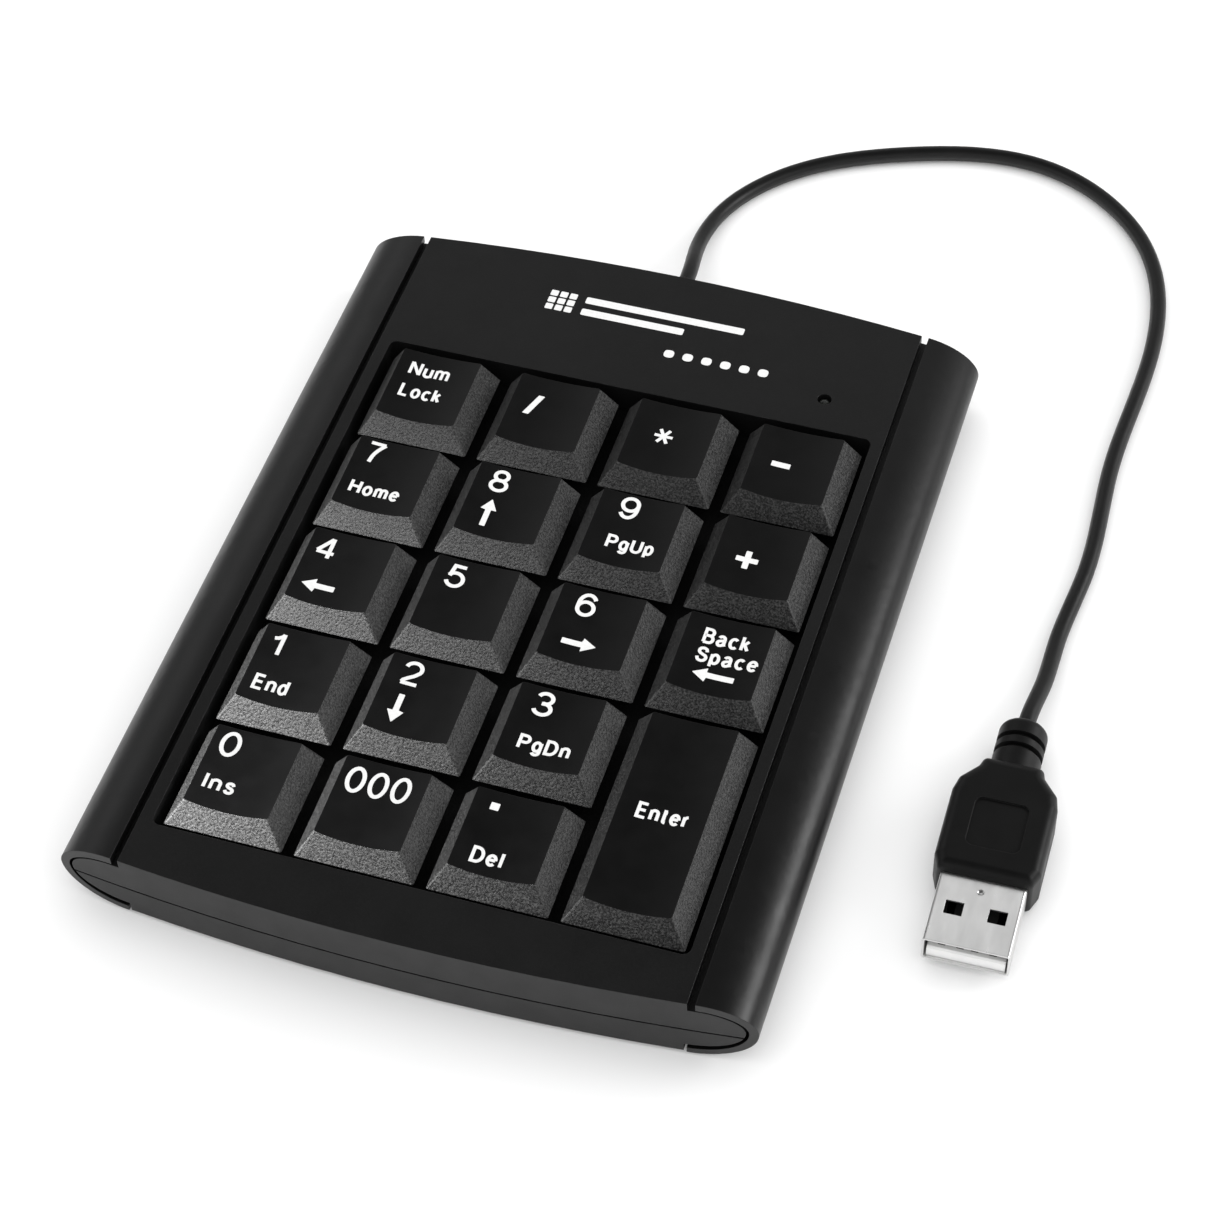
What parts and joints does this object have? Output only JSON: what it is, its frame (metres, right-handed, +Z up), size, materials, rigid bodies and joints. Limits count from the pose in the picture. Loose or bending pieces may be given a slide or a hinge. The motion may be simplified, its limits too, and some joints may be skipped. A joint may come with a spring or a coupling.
{
  "type": "numeric keypad",
  "caption": "Wired numeric keypad: low case with bowed ends and rounded side rails, travelling keycaps over rubber domes, an indicator lamp and a USB cable that ends in a plug.",
  "frame": {"origin": "on the desk plane that the feet rest on, below the middle of the case", "axes": "+X to the user's right across the keys, +Y to the rear, towards the cable outlet, +Z up"},
  "size_m": [0.1289, 0.1855, 0.0142],
  "materials": {
    "case_plastic": "fine satin grain",
    "rail_plastic": "smooth satin",
    "key_plastic": "smooth satin tops, coarse spark grain on the skirts",
    "frame_plastic": "matt moulded",
    "lamp_lens": "clear tinted, unlit",
    "dome_rubber": "translucent matt",
    "film": "clear printed film",
    "plate_steel": "zinc plated",
    "board_laminate": "green solder mask",
    "epoxy": "black potting",
    "can_metal": "drawn tin plate",
    "capacitor_sleeve": "shrunk sleeve",
    "lead_metal": "tinned",
    "screw_steel": "plated",
    "strip_rubber": "matt foam",
    "foot_rubber": "matt",
    "cable_jacket": "soft satin",
    "wire_insulation": "coloured insulation",
    "plug_plastic": "fine satin",
    "plug_nickel": "bright nickel plate",
    "insulator_plastic": "white",
    "contact_gold": "gold flash"
  },
  "bodies": {
    "case": {"top_cover": "case_plastic", "bottom_cover": "case_plastic", "side_rail_left": "rail_plastic", "side_rail_right": "rail_plastic", "key_frame": "frame_plastic", "backing_plate": "plate_steel", "membrane_bottom": "film", "membrane_spacer": "film", "membrane_top": "film", "dome_sheet": "dome_rubber", "controller_board": "board_laminate", "controller_chip": "epoxy", "crystal": "can_metal", "capacitors": "capacitor_sleeve", "tail_pressure_strip": "strip_rubber", "indicator_led": "lamp_lens", "led_leads": "lead_metal", "case_screws": "screw_steel", "frame_screws": "screw_steel", "board_screws": "screw_steel", "rubber_feet": "foot_rubber", "cable_grommet": "cable_jacket", "usb_cable": "cable_jacket", "cable_conductors": "wire_insulation", "plug_overmold": "plug_plastic", "plug_shell": "plug_nickel", "plug_insulator": "insulator_plastic", "plug_contacts": "contact_gold"},
    "key_num_lock": {"keycap_num_lock": "key_plastic"},
    "key_divide": {"keycap_divide": "key_plastic"},
    "key_multiply": {"keycap_multiply": "key_plastic"},
    "key_minus": {"keycap_minus": "key_plastic"},
    "key_7": {"keycap_7": "key_plastic"},
    "key_8": {"keycap_8": "key_plastic"},
    "key_9": {"keycap_9": "key_plastic"},
    "key_plus": {"keycap_plus": "key_plastic"},
    "key_4": {"keycap_4": "key_plastic"},
    "key_5": {"keycap_5": "key_plastic"},
    "key_6": {"keycap_6": "key_plastic"},
    "key_backspace": {"keycap_backspace": "key_plastic"},
    "key_1": {"keycap_1": "key_plastic"},
    "key_2": {"keycap_2": "key_plastic"},
    "key_3": {"keycap_3": "key_plastic"},
    "key_enter": {"keycap_enter": "key_plastic"},
    "key_0": {"keycap_0": "key_plastic"},
    "key_000": {"keycap_000": "key_plastic"},
    "key_decimal": {"keycap_decimal": "key_plastic"},
    "stabiliser": {"enter_stabiliser": "screw_steel"}
  },
  "joints": [
    {"name": "press_num_lock", "type": "slide", "parent": "case", "child": "key_num_lock", "axis": [0, 0, -1], "range_m": [0, 0.0024], "deforming": ["dome_sheet"]},
    {"name": "press_divide", "type": "slide", "parent": "case", "child": "key_divide", "axis": [0, 0, -1], "range_m": [0, 0.0024], "deforming": ["dome_sheet"]},
    {"name": "press_multiply", "type": "slide", "parent": "case", "child": "key_multiply", "axis": [0, 0, -1], "range_m": [0, 0.0024], "deforming": ["dome_sheet"]},
    {"name": "press_minus", "type": "slide", "parent": "case", "child": "key_minus", "axis": [0, 0, -1], "range_m": [0, 0.0024], "deforming": ["dome_sheet"]},
    {"name": "press_7", "type": "slide", "parent": "case", "child": "key_7", "axis": [0, 0, -1], "range_m": [0, 0.0024], "deforming": ["dome_sheet"]},
    {"name": "press_8", "type": "slide", "parent": "case", "child": "key_8", "axis": [0, 0, -1], "range_m": [0, 0.0024], "deforming": ["dome_sheet"]},
    {"name": "press_9", "type": "slide", "parent": "case", "child": "key_9", "axis": [0, 0, -1], "range_m": [0, 0.0024], "deforming": ["dome_sheet"]},
    {"name": "press_plus", "type": "slide", "parent": "case", "child": "key_plus", "axis": [0, 0, -1], "range_m": [0, 0.0024], "deforming": ["dome_sheet"]},
    {"name": "press_4", "type": "slide", "parent": "case", "child": "key_4", "axis": [0, 0, -1], "range_m": [0, 0.0024], "deforming": ["dome_sheet"]},
    {"name": "press_5", "type": "slide", "parent": "case", "child": "key_5", "axis": [0, 0, -1], "range_m": [0, 0.0024], "deforming": ["dome_sheet"]},
    {"name": "press_6", "type": "slide", "parent": "case", "child": "key_6", "axis": [0, 0, -1], "range_m": [0, 0.0024], "deforming": ["dome_sheet"]},
    {"name": "press_backspace", "type": "slide", "parent": "case", "child": "key_backspace", "axis": [0, 0, -1], "range_m": [0, 0.0024], "deforming": ["dome_sheet"]},
    {"name": "press_1", "type": "slide", "parent": "case", "child": "key_1", "axis": [0, 0, -1], "range_m": [0, 0.0024], "deforming": ["dome_sheet"]},
    {"name": "press_2", "type": "slide", "parent": "case", "child": "key_2", "axis": [0, 0, -1], "range_m": [0, 0.0024], "deforming": ["dome_sheet"]},
    {"name": "press_3", "type": "slide", "parent": "case", "child": "key_3", "axis": [0, 0, -1], "range_m": [0, 0.0024], "deforming": ["dome_sheet"]},
    {"name": "press_enter", "type": "slide", "parent": "case", "child": "key_enter", "axis": [0, 0, -1], "range_m": [0, 0.0024], "deforming": ["dome_sheet"]},
    {"name": "press_0", "type": "slide", "parent": "case", "child": "key_0", "axis": [0, 0, -1], "range_m": [0, 0.0024], "deforming": ["dome_sheet"]},
    {"name": "press_000", "type": "slide", "parent": "case", "child": "key_000", "axis": [0, 0, -1], "range_m": [0, 0.0024], "deforming": ["dome_sheet"]},
    {"name": "press_decimal", "type": "slide", "parent": "case", "child": "key_decimal", "axis": [0, 0, -1], "range_m": [0, 0.0024], "deforming": ["dome_sheet"]},
    {"name": "stabiliser_swing", "type": "hinge", "parent": "case", "child": "stabiliser", "pos_m": [0.02318, -0.03698, 0.0084], "axis": [0, 1, 0], "range_deg": [0, 20]}
  ],
  "couplings": [
    {"joint": "stabiliser_swing", "follows": "press_enter", "rad_per_m": 144.12}
  ]
}
